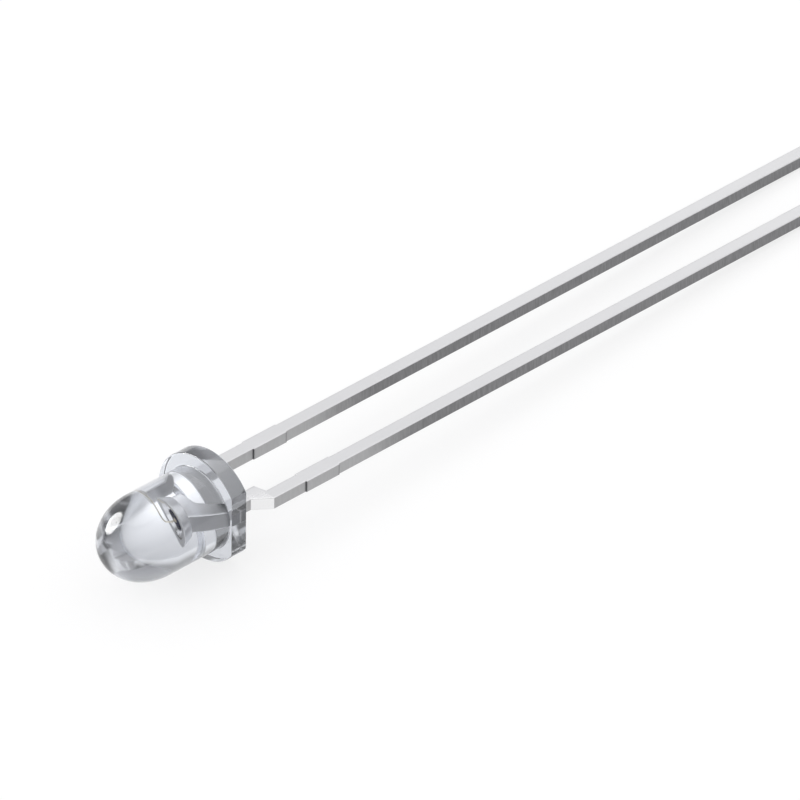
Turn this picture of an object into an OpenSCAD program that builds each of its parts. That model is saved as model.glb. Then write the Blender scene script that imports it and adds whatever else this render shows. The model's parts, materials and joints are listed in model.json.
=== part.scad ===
// Clear through-hole light emitting diode with a 3 mm lens.
// It is modelled upright: Z runs up the lens axis from the seating plane at the back of the
// flange, X runs across the two leads with the cathode on the +X side, and Y is the thickness
// of the lead frame. lay_down() then lays it on a surface, resting on the rim of the flange
// and on the tips of both leads.

/* [Lens] */
// Diameter of the lens barrel
lens_d = 3.0; // [2.9:0.05:3.1]
// Height of the body from the seating plane to the tip of the dome
body_h = 4.8; // [4.7:0.05:5.6]
// Height of the elliptical dome alone
dome_h = 1.85; // [1.5:0.05:2.0]
// Radius of the moulded fillet where the barrel meets the flange
root_fillet = 0.05; // [0.03:0.01:0.07]

/* [Flange] */
// Diameter of the flange
flange_d = 3.9; // [3.75:0.05:4.2]
// Thickness of the flange
flange_t = 0.65; // [0.55:0.05:0.9]
// Distance from the lens axis to the flat that marks the cathode
flat_x = 1.58; // [1.56:0.01:1.7]
// Radius of the moulded edges of the flange
rim_round = 0.04; // [0.02:0.01:0.08]

/* [Leads] */
// Distance between the centre lines of the two leads
lead_pitch = 2.54; // [2.4:0.02:2.54]
// Width of each lead, across the lead frame
lead_w = 0.50; // [0.42:0.02:0.52]
// Thickness of the sheet that the lead frame is stamped from
lead_t = 0.45; // [0.38:0.01:0.5]
// Length of the anode lead below the seating plane
anode_l = 30; // [20:0.5:32]
// Length of the cathode lead below the seating plane
cathode_l = 28.5; // [18:0.5:31]
// Sideways step of the cathode lead just below the flange
kink_step = 0.47; // [0.3:0.01:0.6]
// Distance from the seating plane to the start of the kink's slanted outer edge
kink_start = 0.72; // [0.5:0.02:0.9]
// Length of the slanted outer edge of the kink, along the lead
kink_slope = 0.60; // [0.4:0.02:0.8]
// Distance from the seating plane to the kink's inner corner
notch_start = 1.30; // [1.15:0.05:1.5]
// Length of the kink's steep inner edge, along the lead
notch_slope = 0.12; // [0.08:0.01:0.3]

/* [Cut tie bar] */
// Distance from the seating plane to the cut tie bar
tie_start = 2.77; // [2.4:0.05:3.5]
// Width of the cut tie bar, along the lead
tie_w = 1.48; // [1:0.05:2]
// Height of the cut stubs of the tie bar above the sides of the lead
tie_proud = 0.04; // [0.02:0.01:0.06]

/* [Cathode anvil] */
// Height of the cup rim above the seating plane
cup_z = 2.18; // [2.1:0.02:2.4]
// Radius of the mouth of the reflector cup
cup_mouth_r = 0.38; // [0.35:0.01:0.42]
// Radius of the floor of the reflector cup
cup_floor_r = 0.27; // [0.255:0.005:0.285]
// Depth of the reflector cup
cup_depth = 0.26; // [0.23:0.01:0.3]
// Width of the flat rim round the cup's mouth
cup_rim = 0.16; // [0.12:0.01:0.19]
// Height of the coined round head that holds the cup
head_h = 0.40; // [0.36:0.01:0.5]
// Radius of the head at its lower end
head_base_r = 0.44; // [0.42:0.01:0.46]
// Distance from the lens axis to the outer side of the anvil plate
anvil_out = 0.36; // [0.32:0.01:0.38]
// Distance from the lens axis to the inner side of the anvil plate
anvil_in = 0.36; // [0.32:0.01:0.38]
// Distance from the head down to where the outer side starts to slant
anvil_drop = 0.08; // [0.04:0.01:0.2]
// Distance from the head down to the shoulder under the inner side
shoulder_drop = 0.42; // [0.3:0.01:0.45]
// Distance from the head down to the inner corner of the slanted neck
neck_drop = 0.60; // [0.5:0.01:0.7]
// Distance from the lens axis to that corner, on the cathode's side
neck_x = 0.05; // [0:0.01:0.1]
// Height where the cathode lead starts to slant towards the anvil
anvil_foot = 0.25; // [0.2:0.01:0.35]

/* [Anode post] */
// Height of the top of the post above the seating plane
post_z = 2.24; // [2.1:0.02:2.4]
// Width of the post
post_w = 0.40; // [0.34:0.01:0.42]
// Gap between the rim of the cup and the side of the post
post_gap = 0.15; // [0.1:0.01:0.2]
// Height where the anode lead starts to slant towards the post
post_foot = 0.18; // [0.1:0.01:0.24]
// Height over which the anode lead slants in to the post
post_lean = 1.20; // [1:0.05:1.4]

/* [Die and wire] */
// Side of the square light emitting chip
chip_w = 0.31; // [0.24:0.01:0.31]
// Thickness of the chip
chip_t = 0.17; // [0.12:0.01:0.18]
// Width of the silver paste left showing round the chip
paste_border = 0.02; // [0.01:0.005:0.02]
// Thickness of the silver paste under the chip
paste_t = 0.02; // [0.015:0.005:0.025]
// Diameter of the metal pad on the chip
pad_d = 0.11; // [0.09:0.01:0.13]
// Thickness of the metal pad
pad_t = 0.012; // [0.01:0.002:0.02]
// Diameter of the gold bond wire
wire_d = 0.03; // [0.025:0.005:0.04]
// Diameter of the ball that bonds the wire to the pad
ball_d = 0.08; // [0.07:0.01:0.09]
// Height of that ball
ball_t = 0.03; // [0.02:0.005:0.04]
// Diameter of the flat foot that bonds the wire to the post
stitch_d = 0.07; // [0.06:0.01:0.1]
// Height of that foot
stitch_t = 0.02; // [0.016:0.002:0.03]
// Height of the top of the wire's loop above the pad
wire_loop = 0.3; // [0.25:0.01:0.4]

/* [Hidden] */

$fn = 96;
dome_steps = 32;
fillet_steps = 4;
wire_steps = 28;
wire_sides = 8;

lens_r = lens_d / 2;
flange_r = flange_d / 2;
barrel_top = body_h - dome_h;
flat_half = sqrt(flange_r * flange_r - flat_x * flat_x);

cathode_x = lead_pitch / 2;
anode_x = -lead_pitch / 2;
stub_x = cathode_x - kink_step;

cup_rim_r = cup_mouth_r + cup_rim;
cup_floor_z = cup_z - cup_depth;
head_z = cup_z - head_h;
plate_top = (head_z + cup_floor_z) / 2;

post_in = -(cup_rim_r + post_gap);
post_out = post_in - post_w;
post_x = (post_in + post_out) / 2;

paste_z = cup_floor_z + paste_t;
chip_z = paste_z + chip_t;
pad_z = chip_z + pad_t;

// The body rests on the lowest point of the flange's back edge and on one corner of each lead
// tip. The plane through these three points is slope_z * Z + slope_x * X + Y = constant.
tip_ratio = (anode_l - cathode_l) / lead_pitch;
tip_reach = anode_l + rim_round + tip_ratio * (anode_x + lead_w / 2);
rest_r = flange_r - rim_round;
tip_a = tip_reach * tip_reach - pow(rest_r * tip_ratio, 2);
tip_b = 2 * tip_reach * (lead_t / 2 - rim_round);
tip_c = pow(lead_t / 2 - rim_round, 2) - rest_r * rest_r;
slope_z = (sqrt(tip_b * tip_b - 4 * tip_a * tip_c) - tip_b) / (2 * tip_a);
slope_x = -tip_ratio * slope_z;
roll = atan(slope_x);
pitch = atan(-slope_z * cos(roll));
lift = rest_r * cos(pitch) + rim_round * (1 + sin(pitch));

// Reach of the laid body along the table and to its two sides, measured from the seat's centre
dome_reach = barrel_top * cos(pitch)
    + sqrt(pow(dome_h * cos(pitch), 2) + pow(lens_r * sin(pitch), 2));
lead_reach = min([for (dx = [-1, 1], dy = [-1, 1]) -anode_l * cos(pitch)
    + sin(pitch) * sin(roll) * (anode_x + dx * lead_w / 2)
    + sin(pitch) * cos(roll) * dy * lead_t / 2]);
flat_reach = flat_x * cos(roll) + flat_half * abs(sin(roll));

// Takes the upright body to its rest on a surface at Z = 0, the dome towards +X and the
// cathode lead on the +Y side, with the origin under the middle of its outline.
module lay_down() {
    translate([-(dome_reach + lead_reach) / 2, (flange_r - flat_reach) / 2, lift])
        rotate([roll, pitch, 0])
            rotate([90, 0, 90])
                children();
}

// Points along a quarter circle of radius r about c, from angle a to angle b
function arc(c, r, a, b, n) =
    [for (i = [0 : n]) let (t = a + (b - a) * i / n) [c[0] + r * cos(t), c[1] + r * sin(t)]];

// Outline of the moulded body from its axis out: flange with rounded edges, root fillet,
// straight barrel and a dome that is half an ellipse.
lens_outline = concat(
    [[0, 0]],
    arc([flange_r - rim_round, rim_round], rim_round, -90, 0, fillet_steps),
    arc([flange_r - rim_round, flange_t - rim_round], rim_round, 0, 90, fillet_steps),
    arc([lens_r + root_fillet, flange_t + root_fillet], root_fillet, -90, -180, fillet_steps),
    [for (i = [0 : dome_steps - 1]) let (t = 90 * i / dome_steps)
        [lens_r * cos(t), barrel_top + dome_h * sin(t)]],
    [[0, body_h]]
);

module lens_solid() {
    difference() {
        rotate_extrude() polygon(lens_outline);
        translate([flat_x, -flange_d, -flange_t])
            cube([flange_d, 2 * flange_d, body_h]);
    }
}

// A stamped blank: an outline in X and Z given the thickness of the sheet
module stamped(outline) {
    rotate([90, 0, 0])
        translate([0, 0, -lead_t / 2])
            linear_extrude(lead_t) polygon(outline);
}

// One side of a lead, from its tip up past the stubs of the cut tie bar. side is 1 for the
// +X side, given from the tip up, and -1 for the -X side, given from the tie bar down.
function lead_side(x, length, side) =
    let (edge = x + side * lead_w / 2, stub = edge + side * tie_proud,
        run = [[edge, -length], [edge, -tie_start - tie_w], [stub, -tie_start - tie_w],
            [stub, -tie_start], [edge, -tie_start]])
    side > 0 ? run : [for (i = [len(run) - 1 : -1 : 0]) run[i]];

cathode_outline = concat(
    lead_side(cathode_x, cathode_l, 1),
    [
        [cathode_x + lead_w / 2, -kink_start - kink_slope],
        [stub_x + lead_w / 2, -kink_start],
        [stub_x + lead_w / 2, anvil_foot],
        [anvil_out, head_z - anvil_drop],
        [anvil_out, plate_top],
        [-anvil_in, plate_top],
        [-anvil_in, head_z - shoulder_drop],
        [neck_x, head_z - neck_drop],
        [stub_x - lead_w / 2, anvil_foot],
        [stub_x - lead_w / 2, -notch_start],
        [cathode_x - lead_w / 2, -notch_start - notch_slope]
    ],
    lead_side(cathode_x, cathode_l, -1)
);

anode_outline = concat(
    lead_side(anode_x, anode_l, 1),
    [
        [anode_x + lead_w / 2, post_foot],
        [post_in, post_foot + post_lean],
        [post_in, post_z],
        [post_out, post_z],
        [post_out, post_foot + post_lean],
        [anode_x - lead_w / 2, post_foot]
    ],
    lead_side(anode_x, anode_l, -1)
);

// The cathode lead with its anvil, whose top is coined to a round head round a conical cup
module cathode_solid() {
    difference() {
        union() {
            stamped(cathode_outline);
            rotate_extrude() polygon([[0, head_z], [head_base_r, head_z], [cup_rim_r, cup_z], [0, cup_z]]);
        }
        rotate_extrude() polygon([[0, cup_floor_z], [cup_floor_r, cup_floor_z],
            [cup_mouth_r, cup_z], [cup_mouth_r, body_h], [0, body_h]]);
    }
}

module anode_solid() {
    stamped(anode_outline);
}

module paste_solid() {
    paste_w = chip_w + 2 * paste_border;
    translate([-paste_w / 2, -paste_w / 2, cup_floor_z]) cube([paste_w, paste_w, paste_t]);
}

module chip_solid() {
    translate([-chip_w / 2, -chip_w / 2, paste_z]) cube([chip_w, chip_w, chip_t]);
}

module pad_solid() {
    translate([0, 0, chip_z]) cylinder(d = pad_d, h = pad_t);
}

// The wire's centre line is a cubic curve in the X and Z plane. It leaves the pad straight up,
// turns over in a loop and runs level into the flat foot on the middle of the post's top.
wire_end_z = post_z + (stitch_t + wire_d) / 2;
wire_knots = [[0, pad_z], [0, pad_z + 2 * wire_loop], [post_x / 3, wire_end_z], [post_x, wire_end_z]];
function bezier(p, t) =
    pow(1 - t, 3) * p[0] + 3 * pow(1 - t, 2) * t * p[1] + 3 * (1 - t) * t * t * p[2] + pow(t, 3) * p[3];
wire_path = [for (i = [0 : wire_steps]) let (q = bezier(wire_knots, i / wire_steps)) [q[0], 0, q[1]]];

// Directions of the swept wire at each ring: along it, and the normal in the X and Z plane
function wire_dir(i) =
    i == 0 ? [0, 0, 1] :
    i == wire_steps ? [-1, 0, 0] :
    let (d = wire_path[i + 1] - wire_path[i - 1]) d / norm(d);
function wire_ring(i) =
    let (d = wire_dir(i), n = [-d[2], 0, d[0]])
    [for (k = [0 : wire_sides - 1]) let (a = 360 * (k + 0.5) / wire_sides)
        wire_path[i] + wire_d / 2 * (n * cos(a) + [0, 1, 0] * sin(a))];

module wire_solid() {
    rings = [for (i = [0 : wire_steps]) wire_ring(i)];
    points = [for (ring = rings) each ring];
    sides = [for (i = [0 : wire_steps - 1], k = [0 : wire_sides - 1])
        let (a = i * wire_sides + k, b = i * wire_sides + (k + 1) % wire_sides)
        [a, b, b + wire_sides, a + wire_sides]];
    first = [for (k = [wire_sides - 1 : -1 : 0]) k];
    last = [for (k = [0 : wire_sides - 1]) wire_steps * wire_sides + k];
    polyhedron(points, concat(sides, [first, last]));
}

// The wire with the ball on the pad at one end and the foot on the post at the other
module bonded_wire() {
    union() {
        wire_solid();
        translate([0, 0, pad_z]) cylinder(d = ball_d, h = ball_t);
        translate([post_x, 0, post_z]) cylinder(d = stitch_d, h = stitch_t);
    }
}

// A short plug on the contact plane of two buried pieces, inside both of them. Cutting it from
// the epoxy takes nothing more away, and makes the room for the two pieces one.
plug_t = pad_t / 2;
module contact_plug(x, z, d) {
    translate([x, 0, z - plug_t / 2]) cylinder(d = d / 2, h = plug_t);
}

module lens_body() {
    color([0.86, 0.88, 0.9, 0.35]) lay_down() difference() {
        lens_solid();
        cathode_solid();
        anode_solid();
        paste_solid();
        chip_solid();
        pad_solid();
        bonded_wire();
        contact_plug(0, cup_floor_z, chip_w);
        contact_plug(0, paste_z, chip_w);
        contact_plug(0, chip_z, pad_d);
        contact_plug(0, pad_z, ball_d);
        contact_plug(post_x, post_z, stitch_d);
    }
}

module cathode_lead() {
    color([0.78, 0.79, 0.8]) lay_down() cathode_solid();
}

module anode_lead() {
    color([0.78, 0.79, 0.8]) lay_down() anode_solid();
}

module die_attach() {
    color([0.6, 0.6, 0.58]) lay_down() paste_solid();
}

module led_chip() {
    color([0.05, 0.05, 0.14]) lay_down() chip_solid();
}

module bond_pad() {
    color([0.85, 0.68, 0.3]) lay_down() pad_solid();
}

module bond_wire() {
    color([0.85, 0.68, 0.3]) lay_down() bonded_wire();
}

lens_body();
cathode_lead();
anode_lead();
die_attach();
led_chip();
bond_pad();
bond_wire();
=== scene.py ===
import json
import math

import bmesh
import bpy
import numpy as np
from mathutils import Euler, Matrix, Vector


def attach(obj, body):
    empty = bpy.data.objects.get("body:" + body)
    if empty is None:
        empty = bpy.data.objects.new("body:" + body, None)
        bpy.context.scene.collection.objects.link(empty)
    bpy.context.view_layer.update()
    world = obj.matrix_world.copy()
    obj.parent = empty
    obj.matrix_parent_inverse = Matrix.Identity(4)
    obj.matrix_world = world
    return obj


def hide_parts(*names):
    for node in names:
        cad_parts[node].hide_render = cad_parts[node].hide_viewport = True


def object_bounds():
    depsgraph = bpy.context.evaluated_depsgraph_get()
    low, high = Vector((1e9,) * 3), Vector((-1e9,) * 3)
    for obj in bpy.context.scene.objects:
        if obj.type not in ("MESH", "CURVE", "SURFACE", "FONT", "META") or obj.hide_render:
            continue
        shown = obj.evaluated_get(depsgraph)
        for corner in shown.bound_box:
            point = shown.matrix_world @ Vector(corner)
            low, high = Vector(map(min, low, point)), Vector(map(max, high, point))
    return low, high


bl_info = {
    "name": "Clear through-hole LED",
    "version": (1, 0, 0),
    "blender": (4, 5, 0),
    "location": "View3D > Sidebar > LED",
    "description": "Builds a clear moulded LED with its stamped lead frame, chip and bond wire",
    "category": "Add Mesh",
}

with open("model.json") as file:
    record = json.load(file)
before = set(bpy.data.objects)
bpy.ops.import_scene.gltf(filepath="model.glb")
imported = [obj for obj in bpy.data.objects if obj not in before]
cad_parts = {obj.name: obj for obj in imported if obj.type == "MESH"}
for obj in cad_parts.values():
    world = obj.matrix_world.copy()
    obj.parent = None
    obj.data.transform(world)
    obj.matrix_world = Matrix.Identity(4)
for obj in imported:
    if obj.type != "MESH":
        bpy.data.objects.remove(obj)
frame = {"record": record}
cad_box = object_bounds()

MM = 0.001
MOUNTS = {mount["name"]: mount for mount in frame["record"]["mounts"]}


def mount_point(name):
    return np.array(MOUNTS[name]["pos_m"], float)


def unit(vector):
    return vector / np.linalg.norm(vector)


# The part's own upright axes, as the record's mounts give them in the laid-down frame: UP runs
# up the lens axis, ACROSS from the anode lead to the cathode lead, and THROUGH is the
# thickness of the lead frame.
SEAT = mount_point("seating_plane")
UP = unit(np.array(MOUNTS["lens_barrel"]["axis"], float))
TIPS = mount_point("cathode_terminal") - mount_point("anode_terminal")
ACROSS = unit(TIPS - UP * TIPS.dot(UP))
THROUGH = np.cross(UP, ACROSS)

BARREL = MOUNTS["lens_barrel"]["dims"]
BARREL_R = BARREL["r_mm"]
BARREL_TOP = float((mount_point("lens_barrel") - SEAT).dot(UP)) / MM + BARREL["length_mm"] / 2
FLANGE_T = float((mount_point("flange_front") - SEAT).dot(UP)) / MM
PITCH = float(TIPS.dot(ACROSS)) / MM
CATHODE_L = float((SEAT - mount_point("cathode_terminal")).dot(UP)) / MM
ANODE_L = float((SEAT - mount_point("anode_terminal")).dot(UP)) / MM


def size(name, text, default, low, high):
    """A length in millimetres, for a property group."""
    return bpy.props.FloatProperty(
        name=name, description=text + ", in mm", default=default, min=low, max=high, precision=3)


def degrees(name, text, default):
    return bpy.props.FloatProperty(name=name, description=text + ", in degrees", default=default)


def vector(name, text, default):
    """A direction, or a place in millimetres, for a property group."""
    return bpy.props.FloatVectorProperty(name=name, description=text, default=default, size=3)


def colour(name, text, default):
    return bpy.props.FloatVectorProperty(
        name=name, description=text, default=default, size=3, min=0, max=1, subtype="COLOR")


def share(name, text, default, low=0.0, high=1.0):
    return bpy.props.FloatProperty(
        name=name, description=text, default=default, min=low, max=high, subtype="FACTOR")


class LensSizes(bpy.types.PropertyGroup):
    barrel_r: size("Barrel radius", "Radius of the straight barrel", BARREL_R, 1, 3)
    barrel_top: size("Barrel top", "Height where the dome starts", BARREL_TOP, 2, 6)
    dome_h: size("Dome height", "Height of the elliptical dome", 1.85, 1, 3)
    flange_r: size("Flange radius", "Radius of the flange", 1.95, 1.5, 3.5)
    flange_t: size("Flange thickness", "Thickness of the flange", FLANGE_T, 0.3, 2)
    flat_x: size("Flat", "Distance of the cathode flat from the axis", 1.58, 1.4, 3)
    rounding: size("Rounding", "Rounding of the flange's edges and of its root", 0.04, 0.01, 0.1)
    tint: colour("Epoxy", "Colour of the clear epoxy", (0.838, 0.862, 0.908))


class LeadSizes(bpy.types.PropertyGroup):
    pitch: size("Pitch", "Distance between the leads' centre lines", PITCH, 2, 3)
    width: size("Width", "Width of a lead", 0.50, 0.3, 0.7)
    thickness: size("Thickness", "Thickness of the sheet", 0.45, 0.3, 0.6)
    cathode_l: size("Cathode length", "Cathode lead below the seating plane", CATHODE_L, 5, 40)
    anode_l: size("Anode length", "Anode lead below the seating plane", ANODE_L, 5, 40)
    edge: size("Edge", "Rounding of the stamped edges", 0.03, 0.005, 0.1)
    kink_step: size("Kink", "Sideways step of the cathode lead", 0.47, 0.1, 0.8)
    kink_start: size("Kink start", "Start of the kink's slanted edge", 0.72, 0.3, 2)
    kink_slope: size("Kink slope", "Length of the kink's slanted edge", 0.60, 0.2, 1)
    notch_start: size("Notch start", "Distance to the kink's inner corner", 1.30, 0.5, 3)
    notch_slope: size("Notch slope", "Length of the kink's inner edge", 0.12, 0.02, 1)
    tie_start: size("Tie bar", "Distance to the cut tie bar", 2.77, 1, 5)
    tie_w: size("Tie bar width", "Width of the cut tie bar", 1.48, 0.5, 3)
    tie_proud: size("Tie bar stub", "Height of the tie bar's stubs", 0.04, 0.01, 0.1)
    metal: colour("Tin", "Colour of the tin plate", (0.74, 0.74, 0.75))
    coined: colour("Coined cup", "Colour of the polished cup", (0.9, 0.9, 0.91))
    # The side colours below hold painted shade as well as the sheared metal's own dullness, lighter near the
    # body
    near_side_shade: colour("Dipped side", "Colour of the sheared sides near the body", (0.39, 0.39, 0.395))
    sheared: colour("Sheared side", "Colour of the sheared sides further on", (0.14, 0.14, 0.145))
    plated: colour("Plated side", "Colour of the sides higher up in the epoxy", (0.42, 0.42, 0.43))
    # Painted shade for the metal inside the flange, and how much of it shows
    flange_shade: colour("Sealed zone", "Colour of the metal where the flange grips it", (0.16, 0.165, 0.18))
    flange_shading: share("Sealing", "How much of that colour shows", 0.75)


class FrameSizes(bpy.types.PropertyGroup):
    cup_z: size("Cup rim", "Height of the cup's rim", 2.18, 1.5, 3)
    cup_mouth_r: size("Cup mouth", "Radius of the cup's mouth", 0.38, 0.3, 0.6)
    cup_floor_r: size("Cup floor", "Radius of the cup's floor", 0.27, 0.2, 0.4)
    cup_depth: size("Cup depth", "Depth of the cup", 0.26, 0.1, 0.5)
    cup_rim: size("Cup rim width", "Width of the flat rim", 0.16, 0.05, 0.3)
    head_h: size("Head", "Height of the coined head", 0.40, 0.2, 1.2)
    head_base_r: size("Head base", "Radius of the head's lower end", 0.44, 0.3, 0.6)
    anvil_out: size("Anvil outside", "Axis to the anvil's outer side", 0.36, 0.2, 0.6)
    anvil_in: size("Anvil inside", "Axis to the anvil's inner side", 0.36, 0.2, 0.6)
    anvil_drop: size("Anvil drop", "Head down to the start of the outer slant", 0.08, 0, 0.3)
    shoulder_drop: size("Shoulder", "Head down to the inner shoulder", 0.42, 0.2, 0.6)
    neck_drop: size("Neck drop", "Head down to the neck's inner corner", 0.60, 0.4, 0.9)
    neck_x: size("Neck", "Axis to the neck's inner corner", 0.05, -0.2, 0.4)
    anvil_foot: size("Anvil foot", "Height where the lead starts to slant", 0.25, 0.1, 0.5)
    post_z: size("Post top", "Height of the post", 2.24, 1.5, 3)
    post_w: size("Post width", "Width of the post", 0.40, 0.2, 0.6)
    post_gap: size("Post gap", "Gap between cup and post", 0.15, 0.05, 0.4)
    post_foot: size("Post foot", "Height where the lead leans in", 0.18, 0.05, 0.4)
    post_lean: size("Post lean", "Height of that lean", 1.20, 0.2, 1.6)


class DieSizes(bpy.types.PropertyGroup):
    chip_w: size("Chip", "Side of the chip", 0.31, 0.15, 0.4)
    chip_t: size("Chip thickness", "Thickness of the chip", 0.17, 0.05, 0.3)
    paste_border: size("Paste border", "Paste showing round the chip", 0.02, 0, 0.1)
    paste_t: size("Paste", "Thickness of the paste", 0.02, 0.005, 0.05)
    pad_d: size("Pad", "Diameter of the pad", 0.11, 0.05, 0.2)
    pad_t: size("Pad thickness", "Thickness of the pad", 0.012, 0.002, 0.03)
    wire_d: size("Wire", "Diameter of the bond wire", 0.03, 0.015, 0.06)
    ball_d: size("Ball", "Diameter of the bond ball", 0.08, 0.04, 0.12)
    ball_t: size("Ball height", "Height of the bond ball", 0.03, 0.01, 0.06)
    stitch_d: size("Stitch", "Diameter of the wire's foot on the post", 0.07, 0.03, 0.12)
    stitch_t: size("Stitch height", "Height of that foot", 0.02, 0.01, 0.04)
    wire_loop: size("Loop", "Height of the wire's loop", 0.3, 0.2, 0.8)
    chip: colour("Chip", "Colour of the chip", (0.01, 0.011, 0.045))
    gold: colour("Gold", "Colour of the wire and pad", (0.93, 0.86, 0.72))
    paste: colour("Paste", "Colour of the silver paste", (0.55, 0.55, 0.53))


class StageLook(bpy.types.PropertyGroup):
    azimuth: degrees("Azimuth", "Side the camera looks from", 48.29)
    elevation: degrees("Elevation", "Height it looks from", 35.44)
    roll: degrees("Roll", "Turn about the line of sight", -3.75)
    aim: vector("Aim", "Place in the middle of the picture, in mm", (6.743, 3.144, 4.283))
    distance: size("Distance", "From the camera to that place", 404, 50, 2000)
    lens: size("Lens", "Focal length on a 36 mm sensor", 553.2, 20, 2000)
    white: share("Background", "Brightness of the background", 1.0)
    lamp: vector("Lamp", "Place of the soft light from the part's middle, in mm", (-40, -60, 300))
    lamp_size: size("Lamp size", "Diameter of the soft light", 400, 10, 1000)
    lamp_power: bpy.props.FloatProperty(
        name="Lamp power", description="Power of the soft light, in watts", default=0.33, min=0, max=10)
    wall: colour("Walls", "Colour of the room near the floor", (0.4, 0.4, 0.41))
    ceiling: colour("Ceiling", "Colour of the ceiling", (0.97, 0.97, 0.98))
    zenith: share("Zenith", "How much dimmer metal sees the room behind the soft light", 0.92)
    dim: vector("Dim side", "Direction of the side where the room is dimmer", (0.53, -0.63, 0.57))
    dim_edge: share("Dim edge", "Cosine at which the dimmer side starts", 0.35)
    dimming: share("Dimming", "How much dimmer the room is on that side", 0.95)
    window: vector("Window", "Direction of the window that the surface mirrors", (0.33, -0.78, 0.5))
    window_edge: share("Window edge", "Cosine at which the window starts", 0.92)
    window_glow: share("Window glow", "Brightness of that window", 13, 0, 20)
    horizon: share("Horizon", "Brightness of the horizon through the epoxy", 0.9)
    dark: share("Dark walls", "Brightness of the walls through the epoxy", 0.3)
    key: vector("Glow direction", "Direction of the soft glow seen through it", (0.85, 0.15, 0.5))
    glow: share("Glow", "Brightness that the glow adds", 1.0)
    corner: vector("Corner", "Direction of the dark corner seen through it", (-0.85, 0.48, 0.2))
    corner_edge: share("Corner edge", "Cosine at which that corner starts", 0.84)
    corner_dark: share("Corner darkness", "How much darker it is", 0.8)
    floor: colour("Floor", "Colour of the floor", (0.62, 0.62, 0.63))
    sheen: share("Sheen", "How much of the room the floor mirrors, through the epoxy", 0.75)
    # Painted shade on the floor seen through the epoxy, greying along -Y
    fall: colour("Floor aside", "Colour of the floor further along -Y, through the epoxy", (0.85, 0.87, 0.9))
    fall_start: size("Fall-off start", "Distance along -Y where the floor starts to darken", 1.2, 0, 30)
    fall_width: size("Fall-off width", "Distance over which it darkens", 7, 1, 50)
    shadow: share("Shadow", "How strongly the floor shows the part's shadow", 0.32)
    inner_shadow: share("Inner shadow", "How strongly it does so through the epoxy", 0.2)


GROUPS = {
    "led_lens": LensSizes, "led_leads": LeadSizes, "led_frame": FrameSizes,
    "led_die": DieSizes, "led_stage": StageLook,
}


# Height above the seating plane, in millimetres, from which a strip's low side isn't marked as sheared, so
# that it takes the faces' colour as painted light
LOW_SIDE_LIT_FROM = 0.1


def place(points):
    """Takes upright points in millimetres, (..., 3), to the laid-down frame in metres."""
    axes = np.stack([ACROSS, THROUGH, UP])
    return SEAT + MM * (np.asarray(points, float) @ axes)


def softened(corners, radius, steps=5, closed=False):
    """Rounds the corners of an outline. Each corner C between the points A and B that lie
    radius away on its two sides becomes the quadratic curve (1-t)^2 A + 2t(1-t) C + t^2 B,
    and one more point on each side keeps the flats beside it flat."""
    corners = np.asarray(corners, float)
    before = np.roll(corners, 1, axis=0) - corners
    after = np.roll(corners, -1, axis=0) - corners
    before /= np.linalg.norm(before, axis=1, keepdims=True)
    after /= np.linalg.norm(after, axis=1, keepdims=True)
    t = np.linspace(0, 1, steps)[None, :, None]
    a, b, c = (corners + radius * before)[:, None], (corners + radius * after)[:, None], corners[:, None]
    curve = (1 - t) ** 2 * a + 2 * t * (1 - t) * c + t ** 2 * b
    guard_a = c + 1.4 * radius * before[:, None]
    guard_b = c + 1.4 * radius * after[:, None]
    rounds = np.concatenate([guard_a, curve, guard_b], axis=1)
    if closed:
        return rounds.reshape(-1, 2)
    return np.concatenate([corners[:1], rounds[1:-1].reshape(-1, 2), corners[-1:]])


def ring_faces(rings, around):
    """Quads between the rings of a closed grid: point (i, j) has the number i * around + j."""
    i, j = np.meshgrid(np.arange(rings - 1), np.arange(around), indexing="ij")
    k = (j + 1) % around
    quads = np.stack([i * around + j, i * around + k, (i + 1) * around + k, (i + 1) * around + j], -1)
    return quads.reshape(-1, 4)


def cap_faces(first, around, centre, flip):
    """A fan of triangles from the ring that starts at first to the point numbered centre."""
    j = np.arange(around)
    k = (j + 1) % around
    a, b = (k, j) if flip else (j, k)
    return np.stack([first + a, first + b, np.full(around, centre)], -1)


def shell(rings, attributes=None):
    """A closed shell from rings of points, (rings, around, 3): quads between the rings and a
    fan to the middle of the first and last. Returns points, faces and attributes per point."""
    count, around, _ = rings.shape
    points = np.concatenate([rings.reshape(-1, 3), rings[:1].mean(1), rings[-1:].mean(1)])
    size_all = count * around
    faces = [
        *ring_faces(count, around).tolist(),
        *cap_faces(0, around, size_all, True).tolist(),
        *cap_faces(size_all - around, around, size_all + 1, False).tolist(),
    ]
    values = {}
    for name, grid in (attributes or {}).items():
        values[name] = np.concatenate([grid.reshape(-1), grid[:1].mean(1), grid[-1:].mean(1)])
    return points, faces, values


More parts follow.
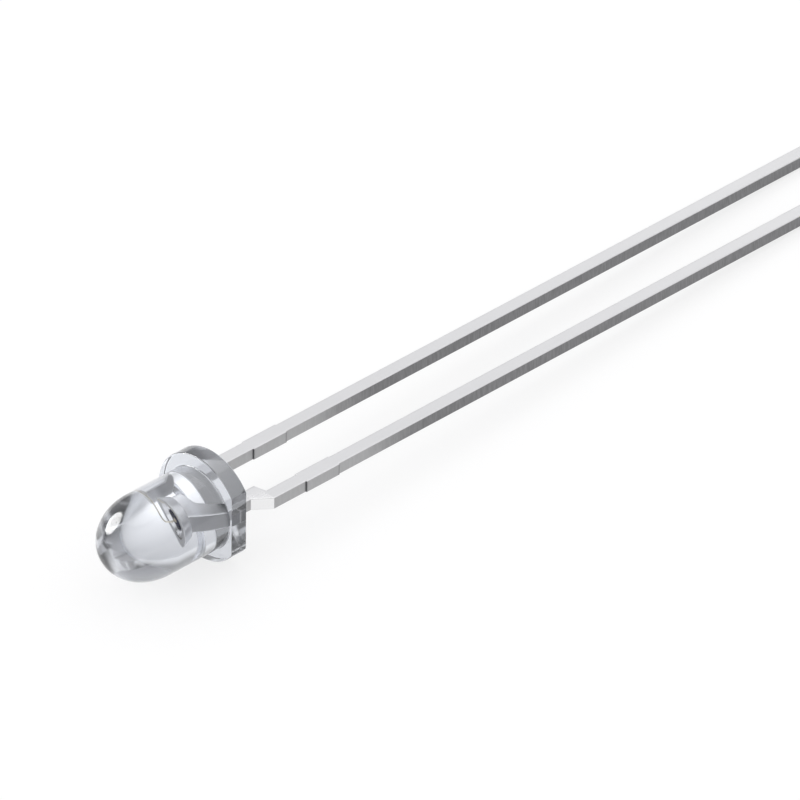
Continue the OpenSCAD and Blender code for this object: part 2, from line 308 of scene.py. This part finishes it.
def make_piece(name, shells, material, replaced, crease=32):
    """One mesh from shells given upright in millimetres. Its faces are turned outwards, edges
    over the crease angle stay sharp, and the height above the seating plane goes with each
    point as the attribute along, in millimetres."""
    points, faces, values, start = [], [], {}, 0
    for shell_points, shell_faces, shell_values in shells:
        points.append(shell_points)
        faces += [[number + start for number in face] for face in shell_faces]
        for key in ("sheared", "coined"):
            values.setdefault(key, []).append(shell_values.get(key, np.zeros(len(shell_points))))
        start += len(shell_points)
    upright = np.concatenate(points)
    mesh = bpy.data.meshes.new(name)
    mesh.from_pydata(place(upright).tolist(), [], faces)
    values["along"] = [upright[:, 2]]
    for key, parts in values.items():
        layer = mesh.attributes.new(key, "FLOAT", "POINT")
        layer.data.foreach_set("value", np.concatenate(parts).astype(np.float32))
    work = bmesh.new()
    work.from_mesh(mesh)
    bmesh.ops.recalc_face_normals(work, faces=work.faces)
    work.to_mesh(mesh)
    work.free()
    mesh.shade_smooth()
    mesh.set_sharp_from_angle(angle=math.radians(crease))
    mesh.materials.append(material)
    piece = bpy.data.objects.new(name, mesh)
    bpy.context.scene.collection.objects.link(piece)
    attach(piece, "root")
    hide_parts(replaced)
    return piece


def revolve(profile, angles, limit=None):
    """Rings of a turned shape: at the angle a the point (r, z) stands at (r cos a, r sin a, z),
    and with a limit r is at most limit / cos a, which cuts a flat."""
    r, z = profile[:, :1], profile[:, 1:]
    a = angles[None, :]
    if limit is not None:
        reach = np.where(np.cos(a) > 0.05, limit / np.maximum(np.cos(a), 0.05), 1e3)
        r = np.minimum(r, reach)
    return np.stack([r * np.cos(a), r * np.sin(a), z + 0 * a], -1)


def full_turn(count):
    return np.linspace(-math.pi, math.pi, count, endpoint=False)


def turned(profile, count, pole):
    """Rings of a full turn of a profile, with its two ends drawn in to the small radius pole,
    where shell closes them."""
    profile = profile.copy()
    profile[0, 0] = profile[-1, 0] = pole
    return revolve(profile, full_turn(count))


def strip_shell(stations, thickness, edge, highlight_span=None):
    """The closed shell of a stamped strip. stations has rows (z, low x, high x), and the section
    there is a rectangle with rounded corners, from low to high in X and half the thickness each
    way in Y. thickness may be one number or one per station. The flat sides in X are marked as
    sheared with 1, where the tin material paints shade on them as well; the low side inside the
    epoxy with 0, so that it takes the faces' colour as painted light; and the high side between
    the two heights in the last argument with -1, for a painted highlight."""
    stations = np.asarray(stations, float)
    z, low, high = stations[:, 0, None], stations[:, 1, None], stations[:, 2, None]
    half = np.broadcast_to(np.asarray(thickness, float) / 2, (len(stations),))[:, None]
    square = softened([(-1, -1), (1, -1), (1, 1), (-1, 1)], edge, closed=True)
    side_x, side_y = np.sign(square[:, 0])[None], np.sign(square[:, 1])[None]
    from_x, from_y = square[:, 0] - side_x, square[:, 1] - side_y
    middle, reach = (low + high) / 2, (high - low) / 2
    x = middle + side_x * reach + from_x
    y = side_y * half + from_y
    rings = np.stack([x, y, z + 0 * x], -1)
    sheared = np.broadcast_to((np.abs(from_x) < 1e-6).astype(float), x.shape).copy()
    sheared *= np.where((side_x < 0) & (z > LOW_SIDE_LIT_FROM), 0.0, 1.0)
    if highlight_span is not None:
        within = (z > highlight_span[0] - 1e-6) & (z < highlight_span[1] + 1e-6)
        sheared[within & (side_x > 0)] = -1
    return shell(rings, {"sheared": sheared})


def in_lead(p, x, length, side_low, side_high):
    """Stations of a lead from its tip up past the stubs of the cut tie bar."""
    low, high = x - p.width / 2, x + p.width / 2
    burr, tiny = p.edge * 0.7, 0.004
    top, bottom = -p.tie_start, -p.tie_start - p.tie_w
    return [
        (-length, low + burr, high - burr),
        (-length + burr, low, high),
        (bottom - tiny, low, high),
        (bottom, low - p.tie_proud, high + p.tie_proud),
        (top, low - p.tie_proud, high + p.tie_proud),
        (top + tiny, low, high),
    ] + [(z, a, b) for z, a, b in zip(side_low[0], side_low[1], side_high)]


class Value:
    """A node socket that Python's operators work on, by adding Math nodes."""

    def __init__(self, graph, socket):
        self.graph, self.socket = graph, socket

    def maths(self, operation, other, swapped=False):
        pair = (other, self) if swapped else (self, other)
        return self.graph.add("Math", {"operation": operation}, pair)

    def __add__(self, other):
        return self.maths("ADD", other)

    def __sub__(self, other):
        return self.maths("SUBTRACT", other)

    def __rsub__(self, other):
        return self.maths("SUBTRACT", other, True)

    def __mul__(self, other):
        return self.maths("MULTIPLY", other)

    def __truediv__(self, other):
        return self.maths("DIVIDE", other)

    def __rtruediv__(self, other):
        return self.maths("DIVIDE", other, True)

    def __abs__(self):
        return self.graph.add("Math", {"operation": "ABSOLUTE"}, (self,))

    __radd__ = __add__
    __rmul__ = __mul__

    def clamped(self):
        return self.graph.add("Clamp", {}, (self, 0.0, 1.0))


class Graph:
    """A node tree that is written as expressions."""

    def __init__(self, tree):
        self.tree = tree
        tree.nodes.clear()

    def add(self, kind, settings=None, inputs=(), output=0):
        """Adds a node of a type, sets its settings and then its sockets' values or links, and
        returns one of its outputs."""
        node = self.tree.nodes.new("ShaderNode" + kind)
        for key, value in (settings or {}).items():
            setattr(node, key, value)
        pairs = inputs.items() if isinstance(inputs, dict) else enumerate(inputs)
        for key, value in pairs:
            if isinstance(value, Value):
                self.tree.links.new(value.socket, node.inputs[key])
            else:
                node.inputs[key].default_value = value
        return Value(self, node.outputs[output]) if node.outputs else None

    def mix(self, factor, first, second):
        """A colour between first and second."""
        return self.add("Mix", {"data_type": "RGBA"}, {0: factor, 6: first, 7: second}, 2)

    def ramp(self, value, start, end, low=0.0, high=1.0, shape="SMOOTHSTEP"):
        """Goes from low, where value is start, to high, where it is end."""
        return self.add("MapRange", {"interpolation_type": shape}, {
            "Value": value, "From Min": start, "From Max": end, "To Min": low, "To Max": high})

    def noise(self, scale, detail=3.0, stretch=(1, 1, 1), turn=(0, 0, 0)):
        """Noise on Object coordinates, with scale in cycles per millimetre and a stretch that
        divides it along each axis."""
        where = self.add("TexCoord", {}, (), "Object")
        lengths = tuple(1 / MM / s for s in stretch)
        moved = self.add("Mapping", {}, {"Vector": where, "Rotation": turn, "Scale": lengths})
        return self.add("TexNoise", {}, {"Vector": moved, "Scale": scale, "Detail": detail}, "Fac")

    def attribute(self, name):
        return self.add("Attribute", {"attribute_name": name}, (), "Fac")

    def bump(self, height, strength, distance_mm):
        return self.add("Bump", {}, {
            "Height": height, "Strength": strength, "Distance": distance_mm * MM})

    def finish(self, shader):
        self.add("OutputMaterial", {}, {"Surface": shader})


def new_material(name):
    material = bpy.data.materials.new(name)
    material.use_nodes = True
    return material, Graph(material.node_tree)


def solid(rgb, level=1.0):
    """A colour for a socket, made darker or brighter by a level."""
    return (*(v * level for v in rgb), 1.0)


def shared(name, make, p):
    """A material that several pieces have: made once, then found by its name."""
    return bpy.data.materials.get(name) or make(p)


BLACK, WHITE = solid((0.0, 0.0, 0.0)), solid((1.0, 1.0, 1.0))

# Turns a pattern so that it runs along the lead frame's own axes
LAID = tuple(Matrix(np.stack([UP, ACROSS, THROUGH]).tolist()).to_euler())


def epoxy_material(p):
    """Clear moulded epoxy: polished by its mould, with a little haze and a faint waviness."""
    material, g = new_material("moulded_epoxy")
    wave = g.noise(1.3, 2.0)
    fine = g.noise(9.0, 4.0)
    rough = 0.05 + 0.04 * fine
    height = wave * 0.93 + fine * 0.07
    g.finish(g.add("BsdfPrincipled", {}, {
        "Base Color": solid(p.tint),
        "Roughness": rough,
        "Transmission Weight": 1.0,
        "IOR": 1.53,
        "Normal": g.bump(height, 0.35, 0.004),
    }))
    return material


def tin_material(p):
    """Tin plated strip. Its rolled faces are bright satin with faint streaks along the lead, and
    cleaner towards the tips. Its sheared sides are darker, partly from their own duller metal and
    partly from painted shade, which is lighter near the body, and have fine scores across. Inside
    the epoxy the low side takes the faces' colour as painted light. The kink's slanted side gets a
    painted highlight. In the flange the metal is darkened by painted shade, and above it the faces
    are polished. The cup is coined bright round a floor that is painted dark as shade. A painted
    shadow line darkens the sides at each end of the cut tie bar."""
    material, g = new_material("tin_plate")
    along, sheared, coined = (g.attribute(name) for name in ("along", "sheared", "coined"))
    streak = g.noise(1.0, 4.0, stretch=(3.0, 0.09, 0.09), turn=LAID)
    cloud = g.noise(0.9, 3.0)
    grain = g.noise(14.0, 3.0)
    nick = g.noise(1.0, 3.0, stretch=(0.07, 0.5, 0.5), turn=LAID)

    # Stretches of the lead, each from and to a height above the seating plane in millimetres
    upper = g.ramp(along, 0.35, 0.65)
    high = g.ramp(along, 1.65, 2.0, 0.0, 0.55)
    # Painted shade on the sheared sides, lighter from here up towards the body
    near_side_shade = g.ramp(along + 1.2 * (cloud - 0.5), -8.5, -4.8)
    clean = g.ramp(along, -26.0, -6.0, 0.35, 0.0, "LINEAR")
    # Painted shade over the metal inside the flange
    flange_shade = ((along - 0.02) / 0.05).clamped() * (1 - upper) * p.flange_shading
    # Painted shadow lines on the sides at both ends of the cut tie bar, in the corners of its stubs
    lines = 0.0
    for end in (-p.tie_start, -p.tie_start - p.tie_w):
        lines = (1 - abs(along - end) / 0.06).clamped() * 0.6 + lines

    tone = 0.5 + 0.5 * cloud + 0.4 * (streak - 0.5)
    face = g.mix(tone.clamped(), solid(p.metal, 0.93), solid(p.metal))
    face = g.mix(clean, face, WHITE)
    face = g.mix(upper, face, solid(p.coined))
    # Painted highlight: the kink's slanted side, marked -1, is lightened towards white
    face = g.mix((0 - sheared).clamped() * 0.5, face, WHITE)
    # The sides' dark colours are partly their own duller sheared metal and partly painted shade
    side = g.mix(near_side_shade, solid(p.sheared), solid(p.near_side_shade))
    side = g.mix((0.3 * nick).clamped(), side, solid(p.metal, 0.95))
    side = g.mix(upper, side, solid(p.plated))
    side = g.mix(high, side, solid(p.coined))
    skin = g.mix(sheared.clamped(), face, side)
    # Painted shade darkens the metal inside the flange
    skin = g.mix(flange_shade, skin, solid(p.flange_shade))
    skin = g.mix(coined.clamped(), skin, solid(p.coined))
    # Painted shade: the cup's flat floor, marked -1, is darkened almost to black
    skin = g.mix((0 - coined).clamped() * 0.9, skin, solid((0.05, 0.05, 0.07)))
    # Painted shadow lines on the sides at the tie bar's ends
    skin = g.mix((lines * sheared).clamped(), skin, solid((0.07, 0.07, 0.075)))
    rough = 0.24 + 0.12 * streak + 0.1 * sheared + 0.06 * grain - 0.18 * abs(coined)
    height = streak * (1 - sheared) * 0.5 + nick * sheared * 0.7 + grain * 0.25
    g.finish(g.add("BsdfPrincipled", {}, {
        "Base Color": skin,
        "Metallic": 1.0,
        "Roughness": rough.clamped(),
        "Normal": g.bump(height, 0.3, 0.006),
    }))
    return material


def chip_material(p):
    """Dark sawn crystal: glossy on top, with fine saw lines and chipped edges on its sides."""
    material, g = new_material("led_chip_crystal")
    saw = g.noise(6.0, 3.0, stretch=(0.3, 1.0, 1.0))
    grain = g.noise(30.0, 2.0)
    skin = g.mix(saw, solid(p.chip, 0.6), solid(p.chip, 1.6))
    g.finish(g.add("BsdfPrincipled", {}, {
        "Base Color": skin,
        "Roughness": 0.12 + 0.3 * grain,
        "Specular IOR Level": 0.05,
        "Normal": g.bump(saw, 0.4, 0.004),
    }))
    return material


def gold_material(p):
    """Bright gold with a light drawn grain."""
    material, g = new_material("bond_gold")
    grain = g.noise(25.0, 3.0)
    skin = g.mix(grain, solid(p.gold, 0.88), solid(p.gold))
    g.finish(g.add("BsdfPrincipled", {}, {
        "Base Color": skin,
        "Metallic": 1.0,
        "Roughness": 0.16 + 0.14 * grain,
        "Normal": g.bump(grain, 0.2, 0.001),
    }))
    return material


def paste_material(p):
    """Cured silver paste: grey, matt and full of flakes."""
    material, g = new_material("cured_paste")
    flake = g.noise(40.0, 2.0)
    skin = g.mix(flake, solid(p.paste, 0.7), solid(p.paste))
    g.finish(g.add("BsdfPrincipled", {}, {
        "Base Color": skin,
        "Metallic": 0.6,
        "Roughness": 0.35 + 0.35 * flake,
        "Normal": g.bump(flake, 0.6, 0.004),
    }))
    return material


class LED_OT_lens(bpy.types.Operator):
    """Moulds the clear body: flange with its flat, barrel and elliptical dome"""
    bl_idname = "led.lens"
    bl_label = "Lens"

    def execute(self, context):
        p = context.scene.led_lens
        outline = softened([
            (0.0, 0.0), (p.flange_r, 0.0), (p.flange_r, p.flange_t), (p.barrel_r, p.flange_t),
            (p.barrel_r, p.barrel_top)], p.rounding)
        # The dome is a quarter of an ellipse: (barrel_r cos t, dome_h sin t)
        t = np.linspace(0, math.pi / 2, 72)[:-1]
        dome = np.stack([p.barrel_r * np.cos(t), p.barrel_top + p.dome_h * np.sin(t)], -1)
        inner = np.array([[p.flange_r * 0.5, 0.0]])
        profile = np.concatenate([inner, outline[1:-1], dome])
        # Steps lie closer together at the two corners that the flat cuts into the flange
        corner = math.acos(p.flat_x / p.flange_r)
        near = np.linspace(-0.03, 0.03, 9)
        angles = np.unique(np.concatenate([full_turn(256), corner + near, -corner + near]).round(6))
        rings = revolve(profile, angles, p.flat_x)
        rings = np.concatenate([rings[:1] * 0.4 * [1, 1, 0], rings])
        lens = make_piece(
            "clear_lens", [shell(rings)], epoxy_material(p), "lens_body")
        # Clear epoxy throws next to no shadow
        lens.visible_shadow = False
        return {"FINISHED"}


class LED_OT_cathode(bpy.types.Operator):
    """Stamps the kinked cathode lead with its anvil, and coins the head and its cup"""
    bl_idname = "led.cathode"
    bl_label = "Cathode lead"

    def execute(self, context):
        p, q = context.scene.led_leads, context.scene.led_frame
        x = p.pitch / 2
        stub = x - p.kink_step
        lead_low, lead_high = x - p.width / 2, x + p.width / 2
        stub_low, stub_high = stub - p.width / 2, stub + p.width / 2
        floor_z, head_z = q.cup_z - q.cup_depth, q.cup_z - q.head_h
        plate_top = (head_z + floor_z) / 2
        low = np.array([
            (-p.notch_start - p.notch_slope, lead_low), (-p.notch_start, stub_low),
            (q.anvil_foot, stub_low), (head_z - q.neck_drop, q.neck_x),
            (head_z - q.shoulder_drop, -q.anvil_in), (plate_top, -q.anvil_in)])
        high = np.array([
            (-p.kink_start - p.kink_slope, lead_high), (-p.kink_start, stub_high),
            (q.anvil_foot, stub_high), (head_z - q.anvil_drop, q.anvil_out),
            (plate_top, q.anvil_out)])
        # Between its corners each side runs straight, and rings just beside the kink keep its
        # slant apart from the straight stretches
        kink, beside = (-p.kink_start - p.kink_slope, -p.kink_start), 0.01
        z = np.unique([*low[:, 0], *high[:, 0], kink[0] - beside, kink[1] + beside])
        sides = (z, np.interp(z, low[:, 0], low[:, 1])), np.interp(z, high[:, 0], high[:, 1])
        stations = in_lead(p, x, p.cathode_l, *sides)
        rim_r, bend, slack = q.cup_mouth_r + q.cup_rim, 0.025, 0.01
        profile = softened([
            (0.0, head_z), (q.head_base_r, head_z), (rim_r, q.cup_z), (q.cup_mouth_r, q.cup_z),
            (q.cup_floor_r, floor_z), (0.0, floor_z)], bend)
        rings = turned(profile, 96, 0.02)
        # The cup's inside is marked 1 for its coined polish and its flat floor -1, which the tin material
        # paints dark as shade
        inside = (profile[:, 0] < rim_r - 2 * slack) & (profile[:, 1] > floor_z - slack)
        flat_floor = inside & (profile[:, 1] < floor_z + slack)
        coined = np.broadcast_to((inside * 1.0 - 2.0 * flat_floor)[:, None], rings.shape[:2])
        head = shell(rings, {"coined": coined.copy()})
        # The kink's slanted side is marked for a painted highlight
        strip_part = strip_shell(stations, p.thickness, p.edge, kink)
        tin = shared("tin_plate", tin_material, p)
        make_piece("cathode_strip", [strip_part, head], tin, "cathode_lead")
        return {"FINISHED"}


class LED_OT_anode(bpy.types.Operator):
    """Stamps the straight anode lead with its post"""
    bl_idname = "led.anode"
    bl_label = "Anode lead"

    def execute(self, context):
        p, q = context.scene.led_leads, context.scene.led_frame
        x = -p.pitch / 2
        low_x, high_x = x - p.width / 2, x + p.width / 2
        post_in = -(q.cup_mouth_r + q.cup_rim + q.post_gap)
        post_out = post_in - q.post_w
        burr = p.edge * 0.5
        z = np.array([q.post_foot, q.post_foot + q.post_lean, q.post_z - burr, q.post_z])
        low = np.array([low_x, post_out, post_out, post_out + burr])
        high = np.array([high_x, post_in, post_in, post_in - burr])
        stations = in_lead(p, x, p.anode_l, (z, low), high)
        part = strip_shell(stations, p.thickness, p.edge)
        tin = shared("tin_plate", tin_material, p)
        make_piece("anode_strip", [part], tin, "anode_lead")
        return {"FINISHED"}


def die_heights(context):
    """Heights of the paste's, chip's and pad's tops above the seating plane."""
    p, q = context.scene.led_die, context.scene.led_frame
    floor = q.cup_z - q.cup_depth
    return floor, floor + p.paste_t, floor + p.paste_t + p.chip_t


class LED_OT_die(bpy.types.Operator):
    """Glues the chip into the cup with silver paste and puts the pad on it"""
    bl_idname = "led.die"
    bl_label = "Chip"

    def execute(self, context):
        p = context.scene.led_die
        floor, glued, top = die_heights(context)
        wide = p.chip_w / 2 + p.paste_border
        slope = np.array([(floor, wide), (floor + p.paste_t * 0.5, wide - p.paste_border * 0.45),
                          (glued, p.chip_w / 2 + p.paste_border * 0.1)])
        stations = np.stack([slope[:, 0], -slope[:, 1], slope[:, 1]], -1)
        part = strip_shell(stations, slope[:, 1] * 2, 0.02)
        make_piece("silver_paste", [part], paste_material(p), "die_attach", 60)
        half, cut = p.chip_w / 2, 0.004
        rows = np.array([(glued, half - cut), (glued + cut, half), (top - cut, half), (top, half - cut)])
        stations = np.stack([rows[:, 0], -rows[:, 1], rows[:, 1]], -1)
        part = strip_shell(stations, rows[:, 1] * 2, 0.006)
        make_piece("chip_crystal", [part], chip_material(p), "led_chip")
        profile = softened([(0.0, top), (p.pad_d / 2, top), (p.pad_d / 2, top + p.pad_t),
                            (0.0, top + p.pad_t)], 0.003)
        part = shell(turned(profile, 48, 0.002))
        make_piece("chip_pad", [part], shared("bond_gold", gold_material, p), "bond_pad")
        return {"FINISHED"}


class LED_OT_wire(bpy.types.Operator):
    """Draws the gold bond wire from its ball on the pad to the top of the post"""
    bl_idname = "led.wire"
    bl_label = "Bond wire"

    def execute(self, context):
        p, q = context.scene.led_die, context.scene.led_frame
        pad = die_heights(context)[2] + p.pad_t
        post_x = -(q.cup_mouth_r + q.cup_rim + q.post_gap + q.post_w / 2)
        r = p.wire_d / 2
        land = q.post_z + p.stitch_t / 2 + r
        # The cubic curve of these four points, which leaves the pad upright and comes in level
        knots = np.array([(0.0, pad), (0.0, pad + 2 * p.wire_loop), (post_x / 3, land), (post_x, land)])
        t = np.linspace(0, 1, 64)[:, None]
        path = ((1 - t) ** 3 * knots[0] + 3 * (1 - t) ** 2 * t * knots[1]
                + 3 * (1 - t) * t ** 2 * knots[2] + t ** 3 * knots[3])
        ahead = np.gradient(path, axis=0)
        ahead /= np.linalg.norm(ahead, axis=1, keepdims=True)
        # Its section is a circle, pressed flatter and wider over the last stretch
        pressed = 0.94
        press = np.clip((t - pressed) / (1 - pressed), 0, 1) ** 2
        a = full_turn(20)[None, :]
        tall, wide = r * (1 - 0.5 * press), r * (1 + 0.6 * press)
        path = path - np.concatenate([0 * press, 0.5 * r * press], 1)
        side_x, side_z = -ahead[:, 1:], ahead[:, :1]
        rings = np.stack([
            path[:, :1] + tall * np.cos(a) * side_x, wide * np.sin(a),
            path[:, 1:] + tall * np.cos(a) * side_z], -1)
        # The ball and the foot are turned from (wide / 2 cos^0.6 t, tall / 2 (1 + sin t))
        bonds = []
        for x, z, wide, tall in ((0.0, pad, p.ball_d, p.ball_t), (post_x, q.post_z, p.stitch_d, p.stitch_t)):
            turn = np.linspace(-math.pi / 2, math.pi / 2, 13)
            dot = np.stack([wide / 2 * np.cos(turn) ** 0.6, z + tall / 2 * (1 + np.sin(turn))], -1)
            bonds.append(shell(turned(dot, 40, 0.002) + [x, 0, 0]))
        gold = shared("bond_gold", gold_material, p)
        make_piece("gold_wire", [shell(rings), *bonds], gold, "bond_wire", 60)
        return {"FINISHED"}


def world_look(p):
    """The studio all round: white where the camera sees it. Metal and light see a room whose grey
    walls turn into a bright ceiling, which is dimmer behind the soft light, so that what mirrors
    both doesn't turn white. Through the epoxy it has a pale horizon, darker walls with one dark
    corner, a bright ceiling, and a soft glow in front of the dome. One side is dimmer for both,
    and a bright window there is mirrored by the outer surfaces alone. Heights are sines of the
    elevation."""
    world = bpy.data.worlds.new("studio")
    world.use_nodes = True
    bpy.context.scene.world = world
    g = Graph(world.node_tree)
    direction = g.add("TexCoord", {}, (), "Generated")
    height = g.add("SeparateXYZ", {}, (direction,), 2)

    def facing(toward, start, end):
        """1 where the direction's cosine with toward is over end, and 0 where it is under start."""
        towards = tuple(unit(np.array(toward)))
        near = g.add("VectorMath", {"operation": "DOT_PRODUCT"}, {0: direction, 1: towards}, "Value")
        return g.ramp(near, start, end)

    camera, glossy, inner = light_paths(g)
    lit = 1 - facing(p.dim, p.dim_edge, 0.95) * p.dimming * (glossy + inner).clamped()
    lit = lit * (1 - g.ramp(height, 0.8, 0.95, 0.0, p.zenith) * glossy)
    room = g.mix(g.ramp(height, 0.0, 0.7), solid(p.wall), solid(p.ceiling))
    room = g.mix(lit, BLACK, room)
    level = g.ramp(height, 0.0, 0.3, p.horizon, p.dark) + g.ramp(height, 0.5, 0.85, 0.0, 0.95 - p.dark)
    level = (level + facing(p.key, 0.35, 0.85) * p.glow).clamped() * lit
    level = level * (1 - facing(p.corner, p.corner_edge, p.corner_edge + 0.12) * p.corner_dark)
    tone = g.mix(inner, room, g.mix(level, BLACK, WHITE))
    tone = g.mix(camera, tone, solid((p.white,) * 3))
    # What an outer surface mirrors comes to the world with a ray depth of 2
    outer = g.add("LightPath", {}, (), "Ray Depth").maths("LESS_THAN", 2.5)
    window = facing(p.window, p.window_edge, p.window_edge + 0.03) * glossy * outer
    strength = 1 + window * (p.window_glow - 1)
    back = g.add("Background", {}, {"Color": g.mix(window, tone, WHITE), "Strength": strength})
    g.add("OutputWorld", {}, {"Surface": back})


def light_paths(g):
    """Light Path's answers for the camera's rays, for those that a surface mirrors, and for those
    that come out of the epoxy."""
    return [g.add("LightPath", {}, (), f"Is {kind} Ray") for kind in ("Camera", "Glossy", "Transmission")]


def floor_material(p):
    """A pale floor. Seen by the camera, the metal or through the epoxy it is nearly the white of
    the background, and only a share of it is what falls on it, so that the shadow stays faint.
    Through the epoxy it also has painted shade, greying along -Y, and a satin sheen."""
    material, g = new_material("pale_floor")
    grain = g.noise(0.15, 3.0)
    camera, glossy, inner = light_paths(g)
    seen = (camera + glossy + inner).clamped()
    where = g.add("TexCoord", {}, (), "Object")
    y = g.add("SeparateXYZ", {}, (where,), 1)
    # Painted shade on the floor, seen only through the epoxy, greying along -Y
    fall = ((y * (-1 / MM) - p.fall_start) / p.fall_width).clamped() * inner
    tone = g.mix(grain, solid(p.floor, 0.985), solid(p.floor))
    tone = g.mix(seen, tone, solid((0.93, 0.93, 0.93)))
    lit = g.add("BsdfDiffuse", {}, {"Color": tone})
    pale = g.mix(fall, WHITE, solid(p.fall))
    white = g.add("Emission", {}, {"Color": pale, "Strength": p.white})
    own = seen * (1 - p.shadow) - inner * (p.inner_shadow - p.shadow)
    plain = g.add("MixShader", {}, (own.clamped(), lit, white))
    satin = g.add("BsdfAnisotropic", {}, {"Color": solid((0.97, 0.97, 0.97)), "Roughness": 0.3})
    g.finish(g.add("MixShader", {}, (inner * p.sheen, plain, satin)))
    return material


def stage_floor(p):
    """A square floor, a metre across, with the part on its middle."""
    reach = 500 * MM
    mesh = bpy.data.meshes.new("floor")
    corners = [(-reach, -reach, 0), (reach, -reach, 0), (reach, reach, 0), (-reach, reach, 0)]
    mesh.from_pydata(corners, [], [(0, 1, 2, 3)])
    mesh.materials.append(floor_material(p))
    floor = bpy.data.objects.new("floor", mesh)
    bpy.context.scene.collection.objects.link(floor)


def stage_light(p):
    """A large round soft light over the part, aimed at its middle."""
    low, high = cad_box
    middle = (low + high) / 2
    data = bpy.data.lights.new("top_light", "AREA")
    data.shape, data.size, data.energy = "DISK", p.lamp_size * MM, p.lamp_power
    light = bpy.data.objects.new("top_light", data)
    light.location = middle + Vector(p.lamp) * MM
    light.rotation_mode = "QUATERNION"
    light.rotation_quaternion = Vector(p.lamp).to_track_quat("Z", "Y")
    bpy.context.scene.collection.objects.link(light)


def stage_camera(p):
    """A camera at the azimuth, elevation and distance from the aim, turned by the roll."""
    a, e = math.radians(p.azimuth), math.radians(p.elevation)
    back = Vector((math.cos(e) * math.cos(a), math.cos(e) * math.sin(a), math.sin(e)))
    data = bpy.data.cameras.new("camera")
    data.lens, data.sensor_width = p.lens, 36.0
    data.clip_start, data.clip_end = 0.01, 10.0
    camera = bpy.data.objects.new("camera", data)
    turn = back.to_track_quat("Z", "Y") @ Euler((0, 0, math.radians(p.roll))).to_quaternion()
    camera.rotation_mode = "QUATERNION"
    camera.rotation_quaternion = turn
    camera.location = (Vector(p.aim) + back * p.distance) * MM
    bpy.context.scene.collection.objects.link(camera)
    bpy.context.scene.camera = camera


class LED_OT_stage(bpy.types.Operator):
    """Sets up the pale floor, the soft studio light and the camera"""
    bl_idname = "led.stage"
    bl_label = "Stage"

    def execute(self, context):
        p = context.scene.led_stage
        context.scene.view_settings.view_transform = "Standard"
        # Light goes round inside the epoxy more often than Cycles follows it by default
        cycles = context.scene.cycles
        cycles.max_bounces, cycles.glossy_bounces, cycles.transmission_bounces = 28, 14, 20
        world_look(p)
        stage_floor(p)
        stage_light(p)
        stage_camera(p)
        return {"FINISHED"}


class LED_PT_panel(bpy.types.Panel):
    """Lists the steps that build the LED, and its sizes"""
    bl_idname = "LED_PT_panel"
    bl_label = "LED"
    bl_space_type = "VIEW_3D"
    bl_region_type = "UI"
    bl_category = "LED"

    def draw(self, context):
        for step in STEPS:
            self.layout.operator(step.bl_idname)
        for name, group in GROUPS.items():
            box = self.layout.box()
            for field in group.__annotations__:
                box.prop(getattr(context.scene, name), field)


STEPS = (LED_OT_stage, LED_OT_lens, LED_OT_cathode, LED_OT_anode, LED_OT_die, LED_OT_wire)
CLASSES = (*GROUPS.values(), *STEPS, LED_PT_panel)


def register():
    for kind in CLASSES:
        bpy.utils.register_class(kind)
    for name, group in GROUPS.items():
        setattr(bpy.types.Scene, name, bpy.props.PointerProperty(type=group))


def unregister():
    for name in GROUPS:
        delattr(bpy.types.Scene, name)
    for kind in reversed(CLASSES):
        bpy.utils.unregister_class(kind)


def main():
    register()
    bpy.ops.led.stage()
    bpy.ops.led.lens()
    bpy.ops.led.cathode()
    bpy.ops.led.anode()
    bpy.ops.led.die()
    bpy.ops.led.wire()


if __name__ == "__main__":
    main()
